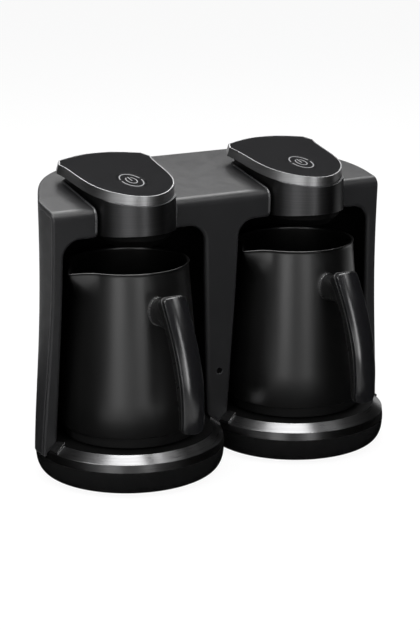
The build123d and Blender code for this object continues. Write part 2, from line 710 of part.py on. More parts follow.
def sensor_pod(x):
    with BuildPart() as pod:
        loft(sections=[drum_face(POD_LOW_Z, 8.5, POD_BACK_Y - 6), drum_face(POD_LOW_Z + 5, 3.0, POD_BACK_Y)])
        extrude(drum_face(POD_LOW_Z + 5, 3.0, POD_BACK_Y), amount=10)
        with BuildSketch(Plane.YZ):
            with BuildLine():
                Polyline((-60, 190), (-60, DRUM_TIP_LOW_Z + 1.5), (DRUM_STEP_Y, DRUM_LOW_Z - 0.1),
                         (DRUM_STEP_Y, NICHE_TOP_Z - 0.1), (60, NICHE_TOP_Z - 0.1), (60, 190), close=True)
            make_face()
        extrude(amount=40, both=True, mode=Mode.SUBTRACT)
        with BuildSketch(Plane.XY.offset(POD_LOW_Z - 1)):
            with Locations((0, LENS_Y)):
                Circle(LENS_R)
        extrude(amount=2.6, mode=Mode.SUBTRACT)
    return pod.part.moved(Location((x, 0, 0)))


def sensor_lens(x):
    with BuildPart() as lens:
        with BuildSketch(Plane.XY.offset(POD_LOW_Z - 0.6)):
            with Locations((0, LENS_Y)):
                Circle(LENS_R)
        extrude(amount=2.2)
        fillet(lens.edges().group_by(Axis.Z)[0], 0.5)
    return lens.part.moved(Location((x, 0, 0)))


# ---- electrics inside --------------------------------------------------------
with BuildPart() as power_board:
    with BuildSketch(Plane.XZ.offset(-POWER_Y)):
        with Locations((0, POWER_Z)):
            RectangleRounded(POWER_W, POWER_H, 2)
    extrude(amount=-1.6)

with BuildPart() as board_standoffs:
    with BuildSketch(Plane.XZ.offset(-POWER_Y - 1.6)):
        with Locations((0, POWER_Z)):
            with GridLocations(POWER_W - 10, POWER_H - 10, 2, 2):
                Circle(3)
    extrude(amount=-(BACK_Y - SHELL_T - POWER_Y - 1.6 - 0.05))

with BuildPart() as relays:
    with BuildSketch(Plane.XZ.offset(-POWER_Y + 13)):
        with Locations((-13, POWER_Z + 18), (13, POWER_Z + 18)):
            RectangleRounded(18, 15, 1)
    extrude(amount=-13)

with BuildPart() as terminal_block:
    with BuildSketch(Plane.XZ.offset(-POWER_Y + 11)):
        with Locations((0, POWER_Z - 28)):
            RectangleRounded(32, 10, 1)
    extrude(amount=-11)
    with BuildSketch(Plane.XZ.offset(-POWER_Y + 11)):
        with Locations((0, POWER_Z - 28)):
            with GridLocations(9, 1, 3, 1):
                Circle(2.2)
    extrude(amount=-4, mode=Mode.SUBTRACT)

with BuildPart() as cord_gland:
    with BuildSketch(Plane.XZ.offset(-(BACK_Y - 6))):
        with Locations((0, GLAND_Z)):
            Circle(GLAND_NECK_R)
    extrude(amount=-10)
    with BuildSketch(Plane.XZ.offset(-BACK_Y - 0.05)):
        with Locations((0, GLAND_Z)):
            Circle(GLAND_NECK_R + 2.5)
    extrude(amount=-2.2)
    with BuildSketch(Plane.XZ.offset(-(BACK_Y - 6))):
        with Locations((0, GLAND_Z)):
            RegularPolygon(GLAND_NECK_R + 3, 6)
    extrude(amount=-3.6)
    with BuildSketch(Plane.XZ.offset(-(BACK_Y - 10))):
        with Locations((0, GLAND_Z)):
            Circle(3.4)
    extrude(amount=-20, mode=Mode.SUBTRACT)

screw_plane = Plane.XZ.offset(-front_y(COLUMN_SCREW_Z) - COLUMN_SCREW_SINK)

with BuildPart() as column_screw:
    with BuildSketch(screw_plane):
        with Locations((0, COLUMN_SCREW_Z)):
            Circle(COLUMN_SCREW_R)
    extrude(amount=-2.2)
    with BuildSketch(screw_plane):
        with Locations((0, COLUMN_SCREW_Z)):
            Circle(1.4)
    extrude(amount=-12)
    with BuildSketch(screw_plane):
        with Locations((0, COLUMN_SCREW_Z)):
            Rectangle(3.0, 0.7)
            Rectangle(0.7, 3.0)
    extrude(amount=-1.0, mode=Mode.SUBTRACT)


# ---- pot ---------------------------------------------------------------------
def pot_radius(z):
    return POT_LOW_R + (POT_RIM_R - POT_LOW_R) * (z - POT_LOW_Z) / (POT_RIM_Z - POT_LOW_Z)


def spout_face(z, half, tip, rounding):
    """Level section of the spout: a wedge from inside the pot out to its rounded tip."""
    with BuildSketch(Plane.XY.offset(z)) as sk:
        with BuildLine():
            Polyline((SPOUT_ROOT_R, half), (tip, 0), (SPOUT_ROOT_R, -half), close=True)
        make_face()
        fillet(vertices().sort_by_distance((tip, 0))[0], rounding)
    return sk.sketch.faces()[0]


def spout_form(inset, rise):
    """The spout's form, drawn in by inset and raised a little, turned to its direction."""
    with BuildPart() as form:
        loft(sections=[spout_face(z + rise, half - inset, tip - 1.4 * inset, rounding - 0.4 * inset)
                       for z, half, tip, rounding in SPOUT])
    return form.part.rotate(Axis.Z, SPOUT_ANGLE)


def pot_body(x):
    with BuildPart() as pot:
        with BuildSketch(Plane.XZ):
            with BuildLine():
                Polyline((0, POT_LOW_Z), (POT_LOW_R, POT_LOW_Z), (POT_RIM_R, POT_RIM_Z), (0, POT_RIM_Z),
                         close=True)
            make_face()
            fillet(vertices().sort_by_distance((POT_LOW_R, POT_LOW_Z))[0], 0.8)
        revolve(axis=Axis.Z)
        add(spout_form(0, 0))
        with BuildSketch(Plane.XZ):
            with BuildLine():
                Polyline((0, POT_FLOOR_Z), (pot_radius(POT_FLOOR_Z) - POT_T, POT_FLOOR_Z),
                         (pot_radius(POT_RIM_Z + 2) - POT_T, POT_RIM_Z + 2), (0, POT_RIM_Z + 2), close=True)
            make_face()
            fillet(vertices().sort_by_distance((pot_radius(POT_FLOOR_Z) - POT_T, POT_FLOOR_Z))[0], 4)
        revolve(axis=Axis.Z, mode=Mode.SUBTRACT)
        add(spout_form(POT_T, 0.4), mode=Mode.SUBTRACT)
        with BuildSketch(Plane.XY.offset(POT_LOW_Z - 1)):
            Circle(POT_LOW_R - 1.8)
        extrude(amount=1 + POT_FLOOR_Z - POT_T - POT_LOW_Z, mode=Mode.SUBTRACT)
    return pot.part.moved(Location((x, POT_Y, 0)))


def pot_base(x):
    with BuildPart() as base:
        with BuildSketch(Plane.XY.offset(POT_BASE_Z)):
            Circle(POT_BASE_R)
        extrude(amount=POT_LOW_Z - 0.15 - POT_BASE_Z)
        chamfer(base.edges().group_by(Axis.Z)[0], 0.8)
        with BuildSketch(Plane.XY.offset(POT_BASE_Z + 2)):
            Circle(POT_BASE_R - 2.4)
        extrude(amount=20, mode=Mode.SUBTRACT)
        with BuildSketch(Plane.XZ.offset(-30)):
            with Locations(*[(p, PIN_Z) for p in PIN_X]):
                Circle(SLEEVE_R + 0.05)
        extrude(amount=-30, mode=Mode.SUBTRACT)
    return base.part.moved(Location((x, POT_Y, 0)))


def heater_plate(x):
    with BuildPart() as heater:
        with BuildSketch(Plane.XY.offset(POT_FLOOR_Z - POT_T - 0.05)):
            Circle(41)
        extrude(amount=-HEATER_T)
    return heater.part.moved(Location((x, POT_Y, 0)))


def contact_sleeves(x):
    with BuildPart() as sleeves:
        with BuildSketch(Plane.XZ.offset(-SLEEVE_Y)):
            with Locations(*[(p, PIN_Z) for p in PIN_X]):
                Circle(SLEEVE_R)
                Circle(PIN_R + 0.5, mode=Mode.SUBTRACT)
        extrude(amount=-SLEEVE_L)
    return sleeves.part.moved(Location((x, 0, 0)))


def handle_curve(share, short=(0, 0)):
    """Side view of the handle at a share of its thickness from the front, its ends drawn in by short."""
    run = [(f[0] + (b[0] - f[0]) * share, f[1] + (b[1] - f[1]) * share)
           for f, b in zip(HANDLE_FRONT, HANDLE_BACK)]

    def drawn_in(a, b, by):
        k = by / sqrt((b[0] - a[0]) ** 2 + (b[1] - a[1]) ** 2)
        return a[0] + (b[0] - a[0]) * k, a[1] + (b[1] - a[1]) * k

    return [drawn_in(run[0], run[1], short[0])] + run[1:-1] + [drawn_in(run[-1], run[-2], short[1])]


def end_edges(bar, half, at_top):
    """The short edges at the sides of a bar's upper or lower end face."""
    return bar.edges().filter_by(
        lambda e: abs(e.center().X) > half - 1.5 and e.length < 14 and abs((e @ 0).X - (e @ 1).X) < 0.5
        and (e.center().Z > 128 if at_top else e.center().Z < 56))


def handle_bar(front, back, halves, corners):
    """Bar between two curves given as (y, z) from top to bottom, narrowing downwards."""
    half_top, half_low = halves
    with BuildPart() as bar:
        with BuildSketch(Plane.YZ.offset(-20)):
            with BuildLine():
                Spline(*front)
                Line(front[-1], back[-1])
                Spline(*reversed(back))
                Line(back[0], front[0])
            make_face()
        extrude(amount=40)
        with BuildSketch(Plane.XZ.offset(140)):
            with BuildLine():
                Polyline((-half_top, 140), (half_top, 140), (half_low, 45), (-half_low, 45), close=True)
            make_face()
        extrude(amount=-110, mode=Mode.INTERSECT)
        if corners:
            fillet(end_edges(bar, half_top, True), corners[0])
            fillet(end_edges(bar, half_low, False), corners[1])
    return bar.part


def broad_face(bar, at_back):
    """The broad face at the front or at the back of a bar."""
    broad = bar.faces().filter_by(lambda f: f.area > 900 and abs(f.center().X) < 1).sort_by(Axis.Y)
    return broad[-1] if at_back else broad[0]


def crown():
    """Long body along the handle's front curve, domed across the front."""
    with BuildLine(Plane.YZ) as path:
        Spline(*handle_curve(0, (-4, -4)))
    with BuildPart() as body:
        with BuildSketch(Plane(origin=path.line @ 0, x_dir=(1, 0, 0), z_dir=path.line % 0)) as section:
            with BuildLine():
                ThreePointArc((-CROWN_HALF, -CROWN_RISE), (0, 0), (CROWN_HALF, -CROWN_RISE))
                Polyline((CROWN_HALF, -CROWN_RISE), (CROWN_HALF, -CROWN_DEPTH), (-CROWN_HALF, -CROWN_DEPTH),
                         (-CROWN_HALF, -CROWN_RISE))
            make_face()
        sweep(section.sketch, path=path.line)
    return body.part


def handle_cover(x):
    with BuildPart() as cover:
        add(handle_bar(handle_curve(-0.3, COVER_SHORT), handle_curve(SEAM_SHARE - 0.02, COVER_SHORT),
                       COVER_HALF, COVER_CORNER))
        add(crown(), mode=Mode.INTERSECT)
        fillet(broad_face(cover, False).edges(), COVER_EDGE_SOFT)
    return cover.part.moved(Location((x, 0, 0)))


def cover_seat():
    """Space in the grip that takes the cover, with a little play."""
    short = (COVER_SHORT[0] - COVER_PLAY, COVER_SHORT[1] - COVER_PLAY)
    halves = (COVER_HALF[0] + COVER_PLAY, COVER_HALF[1] + COVER_PLAY)
    return handle_bar(handle_curve(-0.4, short), handle_curve(SEAM_SHARE, short), halves, COVER_CORNER)


def handle_grip(x):
    with BuildPart() as grip:
        add(handle_bar(handle_curve(RIM_SHARE), handle_curve(1), GRIP_HALF, GRIP_CORNER))
        fillet(broad_face(grip, True).edges(), GRIP_BACK_R)
        fillet(broad_face(grip, False).edges(), GRIP_RIM_R)
        with BuildSketch(Plane.XZ.offset(-HANDLE_BOSS_Y)):
            with Locations((0, HANDLE_SCREW_Z)):
                Ellipse(BOSS_W / 2, BOSS_H / 2)
        extrude(amount=BOSS_L)
        add(cover_seat(), mode=Mode.SUBTRACT)
        with BuildSketch(Plane.XZ.offset(90)):
            with Locations((0, HANDLE_SCREW_Z)):
                Circle(SCREW_HEAD_R + 0.4)
        extrude(amount=-(90 + SCREW_HEAD_Y), mode=Mode.SUBTRACT)
        with BuildSketch(Plane.XZ.offset(90)):
            with Locations((0, HANDLE_SCREW_Z)):
                Circle(SCREW_R + 0.1)
        extrude(amount=-60, mode=Mode.SUBTRACT)
    return grip.part.moved(Location((x, 0, 0)))


def handle_bracket(x):
    with BuildPart() as bracket:
        with BuildSketch(Plane.XZ.offset(-HANDLE_BOSS_Y - 0.1)):
            with Locations((0, HANDLE_SCREW_Z)):
                Ellipse(BOSS_W / 2 + 0.8, BOSS_H / 2 + 0.8)
        extrude(amount=-12)
        with BuildSketch(Plane.XZ):
            with BuildLine():
                Polyline((0, POT_LOW_Z), (POT_LOW_R + 0.03, POT_LOW_Z), (POT_RIM_R + 0.03, POT_RIM_Z),
                         (0, POT_RIM_Z), close=True)
            make_face()
        revolve(axis=Axis((0, POT_Y, 0), (0, 0, 1)), mode=Mode.SUBTRACT)
    return bracket.part.moved(Location((x, 0, 0)))


def handle_screw(x):
    head_plane_y = Plane.XZ.offset(-SCREW_HEAD_Y)
    with BuildPart() as screw:
        with BuildSketch(head_plane_y):
            with Locations((0, HANDLE_SCREW_Z)):
                Circle(SCREW_HEAD_R)
        extrude(amount=SCREW_HEAD_H)
        with BuildSketch(head_plane_y):
            with Locations((0, HANDLE_SCREW_Z)):
                Circle(SCREW_R)
        extrude(amount=-(HANDLE_BOSS_Y - SCREW_HEAD_Y - 0.2))
        with BuildSketch(Plane.XZ.offset(-SCREW_HEAD_Y + SCREW_HEAD_H)):
            with Locations((0, HANDLE_SCREW_Z)):
                Rectangle(4.6, 1.0)
                Rectangle(1.0, 4.6)
        extrude(amount=-1.2, mode=Mode.SUBTRACT)
    return screw.part.moved(Location((x, 0, 0)))


# ---- export ------------------------------------------------------------------
def save(part, name):
    placed = part.moved(Location((0, CENTRE_Y, 0)))
    placed.label = name
    export_step(placed, f"parts/{name}.step")


PER_STATION = (base_ring, platform, niche_liner, connector_block, contact_pins,
               head_body, head_band, head_plate, power_button, power_icon, control_board, tact_switch,
               sensor_pod, sensor_lens, pot_body, pot_base, heater_plate, contact_sleeves,
               handle_cover, handle_grip, handle_bracket, handle_screw)

save(front_cover.part, "front_cover")
save(rear_shell.part, "rear_shell")
save(base_pan.part, "base_pan")
save(rubber_feet.part, "rubber_feet")
save(base_screws.part, "base_screws")
save(power_board.part, "power_board")
save(board_standoffs.part, "board_standoffs")
save(relays.part, "relays")
save(terminal_block.part, "terminal_block")
save(cord_gland.part, "cord_gland")
save(column_screw.part, "column_screw")
for side, sign in SIDES:
    for make in PER_STATION:
        save(make(sign * STATION_X), f"{make.__name__}_{side}")
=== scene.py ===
import json
import math

import bmesh
import bpy
from mathutils import Matrix, Quaternion, Vector


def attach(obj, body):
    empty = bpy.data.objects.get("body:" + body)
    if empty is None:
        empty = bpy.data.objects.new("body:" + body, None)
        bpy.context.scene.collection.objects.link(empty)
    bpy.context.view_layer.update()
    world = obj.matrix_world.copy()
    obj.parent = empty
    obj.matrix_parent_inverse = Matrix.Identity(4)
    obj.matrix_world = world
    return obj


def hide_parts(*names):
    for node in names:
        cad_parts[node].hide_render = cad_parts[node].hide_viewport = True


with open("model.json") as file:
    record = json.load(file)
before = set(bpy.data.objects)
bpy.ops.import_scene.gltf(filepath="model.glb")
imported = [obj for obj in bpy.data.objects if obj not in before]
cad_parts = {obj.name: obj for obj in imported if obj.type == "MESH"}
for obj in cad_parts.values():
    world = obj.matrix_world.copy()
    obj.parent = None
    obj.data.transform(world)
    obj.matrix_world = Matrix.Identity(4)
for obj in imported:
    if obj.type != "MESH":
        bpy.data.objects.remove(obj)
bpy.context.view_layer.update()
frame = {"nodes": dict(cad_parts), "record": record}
nodes = frame["nodes"]
scene = bpy.context.scene

# Metres, Z up, the front is -Y.
STATIONS = {"left": -0.065, "right": 0.065}
MM = 0.001
CENTRE_Y = 12.85 * MM  # how far the part's own zero lies behind the middle

# ---- camera ------------------------------------------------------------------
CAMERA_AZIMUTH = math.radians(28.8)
CAMERA_ELEVATION = math.radians(15.57)
CAMERA_ROLL = math.radians(-0.12)
CAMERA_PLACE = Vector((-0.5676, CENTRE_Y - 1.0323, 0.4266))
LENS, SENSOR = 101.3, 36.0
SHIFT_X, SHIFT_Y = -0.0045, -0.0001
CLIP_START, CLIP_END = 0.05, 30.0


def make_camera():
    data = bpy.data.cameras.new("camera")
    data.lens, data.sensor_width = LENS, SENSOR
    data.shift_x, data.shift_y = SHIFT_X, SHIFT_Y
    data.clip_start, data.clip_end = CLIP_START, CLIP_END
    camera = bpy.data.objects.new("camera", data)
    look = Vector((math.sin(CAMERA_AZIMUTH) * math.cos(CAMERA_ELEVATION),
                   math.cos(CAMERA_AZIMUTH) * math.cos(CAMERA_ELEVATION),
                   -math.sin(CAMERA_ELEVATION)))
    camera.location = CAMERA_PLACE
    roll = Quaternion((0, 0, 1), CAMERA_ROLL)
    camera.rotation_euler = (look.to_track_quat("-Z", "Y") @ roll).to_euler()
    scene.collection.objects.link(camera)
    scene.camera = camera


make_camera()
scene.view_settings.view_transform = "Standard"


# ---- shader building blocks ---------------------------------------------------
def add_node(tree, kind, **values):
    """New shader node; values set its properties or the sockets of that name."""
    node = tree.nodes.new(kind)
    for key, value in values.items():
        if hasattr(node, key):
            setattr(node, key, value)
        else:
            node.inputs[key.replace("_", " ")].default_value = value
    return node


def object_coords(tree, scale):
    """Object coordinates times scale, one number or one per axis."""
    coords = add_node(tree, "ShaderNodeTexCoord")
    stretch = add_node(tree, "ShaderNodeMapping")
    stretch.inputs["Scale"].default_value = scale if isinstance(scale, tuple) else (scale,) * 3
    tree.links.new(coords.outputs["Object"], stretch.inputs["Vector"])
    return stretch.outputs[0]


def noise(tree, scale, detail=3.0, rough=0.55):
    """Cloudy pattern on the object; a larger scale is a finer pattern."""
    node = add_node(tree, "ShaderNodeTexNoise", Scale=1.0, Detail=detail, Roughness=rough)
    tree.links.new(object_coords(tree, scale), node.inputs["Vector"])
    return node.outputs["Fac"]


def spread(tree, fac, low, high, start=0.3, stop=0.7):
    """Maps a pattern's start..stop to low..high."""
    node = add_node(tree, "ShaderNodeMapRange")
    for key, value in (("From Min", start), ("From Max", stop), ("To Min", low), ("To Max", high)):
        node.inputs[key].default_value = value
    tree.links.new(fac, node.inputs["Value"])
    return node.outputs[0]


def blend_colours(tree, fac, first, second):
    """From first at 0 to second at 1; each is a colour or another node's output."""
    node = add_node(tree, "ShaderNodeMix", data_type="RGBA")
    tree.links.new(fac, node.inputs["Factor"])
    for socket, colour in ((node.inputs[6], first), (node.inputs[7], second)):
        if isinstance(colour, tuple):
            socket.default_value = (*colour, 1)
        else:
            tree.links.new(colour, socket)
    return node.outputs[2]


def bump(tree, height, strength, distance, normal):
    """Relief of a pattern's height on top of a normal."""
    node = add_node(tree, "ShaderNodeBump", Strength=strength, Distance=distance)
    tree.links.new(height, node.inputs["Height"])
    tree.links.new(normal, node.inputs["Normal"])
    return node.outputs[0]


def soft_edge(tree, radius):
    """Shading normal rounded over the edges."""
    return add_node(tree, "ShaderNodeBevel", samples=4, Radius=radius).outputs[0]


EDGE_DOT, FLAT_DOT = 0.86, 0.995  # rounded against true normal: on an edge, on the flat


def edge_share(tree, radius):
    """1 on an edge, 0 on the flat: where hands and cloths rub the finish, and where edge highlights
    and edge shade are painted.
    """
    rounded = soft_edge(tree, radius)
    flat = add_node(tree, "ShaderNodeNewGeometry")
    dot = add_node(tree, "ShaderNodeVectorMath", operation="DOT_PRODUCT")
    tree.links.new(rounded, dot.inputs[0])
    tree.links.new(flat.outputs["Normal"], dot.inputs[1])
    return spread(tree, dot.outputs["Value"], 1.0, 0.0, EDGE_DOT, FLAT_DOT)


def material(name, **values):
    """New material, its node tree and its Principled shader with those sockets set."""
    mat = bpy.data.materials.new(name)
    mat.use_nodes = True
    paint = mat.node_tree.nodes["Principled BSDF"]
    for key, value in values.items():
        colour = isinstance(value, tuple)
        paint.inputs[key.replace("_", " ")].default_value = (*value, 1) if colour else value
    return mat, mat.node_tree, paint


RUBBED_AND_HIGHLIGHT_WIDTH = 0.0012
CLOUD_SCALE, GLOSS_SCALE = 38.0, 120.0
GRAIN_DEPTH = 0.00006


def moulded_plastic(name, colour, rough, specular, grain_size, grain, edge=0.0003, worn_and_highlight=None):
    """Moulded plastic: fine grain, cloudy gloss, and a paler edge colour if it has one, as rubbed
    wear and painted highlight along the edges.
    """
    mat, tree, paint = material(name, Specular_IOR_Level=specular)
    cloud = noise(tree, CLOUD_SCALE, 2.0)
    base = blend_colours(tree, cloud, colour, tuple(c * 1.25 for c in colour))
    # Paler colour over the edges: rubbed wear and a painted highlight.
    if worn_and_highlight:
        base = blend_colours(tree, edge_share(tree, RUBBED_AND_HIGHLIGHT_WIDTH), base, worn_and_highlight)
    tree.links.new(base, paint.inputs["Base Color"])
    gloss = spread(tree, noise(tree, GLOSS_SCALE), rough * 0.9, rough * 1.12)
    tree.links.new(gloss, paint.inputs["Roughness"])
    fine = noise(tree, 1.0 / grain_size, 2.0, 0.6)
    relief = bump(tree, fine, grain, GRAIN_DEPTH, soft_edge(tree, edge))
    tree.links.new(relief, paint.inputs["Normal"])
    return mat


def around_upright(tree):
    """Direction that runs level around an upright round piece."""
    flat = add_node(tree, "ShaderNodeNewGeometry")
    cross = add_node(tree, "ShaderNodeVectorMath", operation="CROSS_PRODUCT")
    tree.links.new(flat.outputs["Normal"], cross.inputs[0])
    cross.inputs[1].default_value = (0, 0, 1)
    return cross.outputs["Vector"]


LINE_SCALE, LONG_LINE_SCALE = (45.0, 45.0, 5200.0), (12.0, 12.0, 1500.0)
METAL_EDGE, METAL_WEAR_AND_SHADE_WIDTH = 0.0002, 0.0006
BRUSH_DEPTH = 0.00002


def brushed_metal(name, colour, rough, brush=0.25, stretch=0.0, edge_wear_and_shade=1.5):
    """Metal brushed around the upright axis: fine level lines in colour, gloss and relief.

    stretch draws its highlights out across the lines; the last argument scales the colour of its
    edges, above 1 as rubbed wear, below 1 as painted shade."""
    mat, tree, paint = material(name, Metallic=1.0)
    if stretch:
        paint.inputs["Anisotropic"].default_value = stretch
        paint.inputs["Anisotropic Rotation"].default_value = 0.25
        tree.links.new(around_upright(tree), paint.inputs["Tangent"])
    lines = noise(tree, LINE_SCALE, 4.0, 0.7)
    long_lines = spread(tree, noise(tree, LONG_LINE_SCALE, 3.0, 0.6), 0.0, 1.0)
    tone = blend_colours(tree, long_lines, tuple(c * 0.82 for c in colour), colour)
    # Edge colour: lighter for rubbed wear with a factor above 1, darker as painted shade with a
    # factor below 1.
    edge_wear_and_shade_tone = tuple(min(1.0, c * edge_wear_and_shade) for c in colour)
    tone = blend_colours(tree, edge_share(tree, METAL_WEAR_AND_SHADE_WIDTH), tone, edge_wear_and_shade_tone)
    tree.links.new(tone, paint.inputs["Base Color"])
    tree.links.new(spread(tree, lines, rough * 0.85, rough * 1.15), paint.inputs["Roughness"])
    relief = bump(tree, lines, brush, BRUSH_DEPTH, soft_edge(tree, METAL_EDGE))
    tree.links.new(relief, paint.inputs["Normal"])
    return mat


SKIN_SCALE, DRIFT_SCALE = 1500.0, (30.0, 30.0, 14.0)
SKIN_DEPTH, COATED_EDGE = 0.00005, 0.0004


def coated_steel(name, colour, rough, specular):
    """Satin non-stick coating: a fine pebbled skin over smooth steel, faint drifts in gloss."""
    mat, tree, paint = material(name, Specular_IOR_Level=specular)
    skin = noise(tree, SKIN_SCALE, 3.0, 0.6)
    drift = noise(tree, DRIFT_SCALE, 2.0)
    tone = blend_colours(tree, skin, colour, tuple(c * 1.9 for c in colour))
    tree.links.new(tone, paint.inputs["Base Color"])
    tree.links.new(spread(tree, drift, rough * 0.92, rough * 1.1), paint.inputs["Roughness"])
    relief = bump(tree, skin, 0.22, SKIN_DEPTH, soft_edge(tree, COATED_EDGE))
    tree.links.new(relief, paint.inputs["Normal"])
    return mat


# ---- finishes ------------------------------------------------------------------
# Plastic: name, colour, roughness, specular, grain size and depth, edge radius, edge colour for
# rubbed wear and painted highlight.
# Metal: name, colour, roughness, brush depth.
FINISHES = {
    # Casing: the pale edge colour, five times its own, paints a highlight along its edges over
    # rubbed wear.
    "satin_black": moulded_plastic("satin_black_casing", (0.010, 0.010, 0.0105), 0.36, 0.42,
                                   0.00035, 0.16, 0.0014, (0.05, 0.05, 0.052)),
    "black_plastic": moulded_plastic("matt_black_plastic", (0.004, 0.004, 0.004), 0.55, 0.16,
                                     0.0005, 0.2),
    "gloss_black": moulded_plastic("gloss_black_plastic", (0.004, 0.004, 0.0045), 0.13, 0.5,
                                   0.004, 0.02),
    "bright_steel": brushed_metal("brushed_bright_metal", (0.42, 0.42, 0.425), 0.28),
    "black_coating": coated_steel("pot_coating", (0.0012, 0.0012, 0.0012), 0.33, 1.0),
    "aluminium": brushed_metal("bare_aluminium", (0.6, 0.6, 0.61), 0.35),
    "brass": brushed_metal("contact_brass", (0.75, 0.56, 0.26), 0.3),
    "rubber": moulded_plastic("black_rubber", (0.02, 0.02, 0.02), 0.8, 0.2, 0.0004, 0.4),
    "board_green": moulded_plastic("board_green", (0.02, 0.12, 0.05), 0.35, 0.5, 0.002, 0.05),
    "icon_grey": moulded_plastic("icon_grey", (0.15, 0.15, 0.153), 0.45, 0.3, 0.0004, 0.05),
    "lens": moulded_plastic("dark_red_lens", (0.04, 0.006, 0.006), 0.08, 0.5, 0.004, 0.01),
}
# Pieces whose finish differs from that of their slot.
OWN_FINISH = {
    # Darker than the other black plastic: painted shade of the deep niche.
    "niche_liner": moulded_plastic("niche_black_painted_shade", (0.0015, 0.0015, 0.0015), 0.6, 0.06, 0.0006, 0.2),
    "platform": moulded_plastic("platform_black", (0.002, 0.002, 0.002), 0.45, 0.12, 0.0005, 0.1),
    "base_ring": brushed_metal("ring_metal", (0.18, 0.18, 0.182), 0.30, 0.10, stretch=0.6),
    "head_body": brushed_metal("drum_metal", (0.085, 0.085, 0.087), 0.42, 0.30, stretch=0.6),
    "base_pan": moulded_plastic("base_gloss", (0.004, 0.004, 0.004), 0.24, 0.4, 0.003, 0.03),
    # Darker than the other black plastic: painted shade under the head.
    "sensor_pod": moulded_plastic("pod_black_painted_shade", (0.0015, 0.0015, 0.0015), 0.6, 0.06, 0.0006, 0.2),
    "column_screw": brushed_metal("blackened_screw", (0.02, 0.02, 0.02), 0.4),
    # Band edges at a quarter of the band's colour: painted shade that dims the lit line round the
    # band's top.
    "head_band": brushed_metal("band_metal", (0.44, 0.44, 0.445), 0.42, 0.14,
                               stretch=0.7, edge_wear_and_shade=0.25),
    # Handle cover: the pale edge colour paints a highlight round its rims over rubbed wear.
    "handle_cover": moulded_plastic("cover_gloss", (0.004, 0.004, 0.0045), 0.19, 1.0,
                                    0.004, 0.02, 0.0007, (0.03, 0.03, 0.03)),
    "handle_grip": moulded_plastic("grip_plastic", (0.004, 0.004, 0.004), 0.28, 0.35,
                                   0.0012, 0.06),
}


def finish_of(node):
    """A node's own finish, or the one of its material slot."""
    stem = node.rsplit("_", 1)[0] if node.endswith(("_left", "_right")) else node
    return OWN_FINISH.get(stem) or FINISHES[slots[node]]


slots = {part["node"]: part["material_slot"] for part in frame["record"]["subparts"]}
for name, node in nodes.items():
    for place in node.material_slots:
        place.material = finish_of(name)


def object_from(bm, name):
    """Finishes a bmesh as an object of the scene."""
    mesh = bpy.data.meshes.new(name)
    bm.to_mesh(mesh)
    bm.free()
    obj = bpy.data.objects.new(name, mesh)
    scene.collection.objects.link(obj)
    return obj


# ---- pots ----------------------------------------------------------------------
POT_Y = CENTRE_Y - 2 * MM
POT_RIM_R, POT_RIM_Z = 39.8, 145.7
POT_LOW_R, POT_LOW_Z = 48.5, 36.3
POT_WALL, POT_FLOOR_Z = 1.2, 39.5
SPOUT_ANGLE = math.radians(193.0)   # in plan, from +X
SPOUT_HALF = math.radians(25.0)     # half the spout's width, seen from the pot's middle
SPOUT_LOW_Z = 121.0
SPOUT_REACH, SPOUT_DROP = 9.8, 1.2
POT_STEPS = 288


def pot_radius(z):
    """Outer radius of the tapered wall."""
    return POT_LOW_R + (POT_RIM_R - POT_LOW_R) * (z - POT_LOW_Z) / (POT_RIM_Z - POT_LOW_Z)


def pot_profile():
    """Radius and height: from the foot's middle up the outside, over the rim, down to the floor."""
    foot = [(0, 38.3), (46.7, 38.3), (46.7, POT_LOW_Z), (47.7, POT_LOW_Z), (48.25, 36.5),
            (POT_LOW_R, 37.1)]
    outside = [(pot_radius(z), z) for z in (60, 90, 115, *range(119, 144, 2), 143.8)]
    rim = [(40.05, 144.6), (40.45, 144.95), (40.6, 145.35), (40.4, 145.65), (39.95, 145.7),
           (39.3, 145.55), (38.8, 145.1)]
    inside = [(r - POT_WALL, z) for r, z in reversed(outside)]
    low = pot_radius(POT_FLOOR_Z) - POT_WALL
    floor = [(low - 0.4, 43.0), (low - 1.6, 40.6), (low - 4.2, POT_FLOOR_Z), (0, POT_FLOOR_Z)]
    return foot + outside + rim + inside + floor


def ease(share):
    """0 to 1 with a soft start and a soft end."""
    share = min(1.0, max(0.0, share))
    return share * share * (3 - 2 * share)


def draw_spout(point):
    """Pulls the wall outwards into the lip; strongest at the rim, gone below SPOUT_LOW_Z."""
    turn = math.remainder(math.atan2(point.y, point.x) - SPOUT_ANGLE, math.tau)
    if abs(turn) > SPOUT_HALF or point.z < SPOUT_LOW_Z * MM:
        return
    across = (1 - (abs(turn) / SPOUT_HALF) ** 1.35) ** 2
    up = ease((point.z / MM - SPOUT_LOW_Z) / (POT_RIM_Z - SPOUT_LOW_Z)) ** 1.3
    reach = SPOUT_REACH * MM * across * up
    point.x += reach * math.cos(SPOUT_ANGLE)
    point.y += reach * math.sin(SPOUT_ANGLE)
    point.z -= SPOUT_DROP * MM * across ** 2 * up ** 3


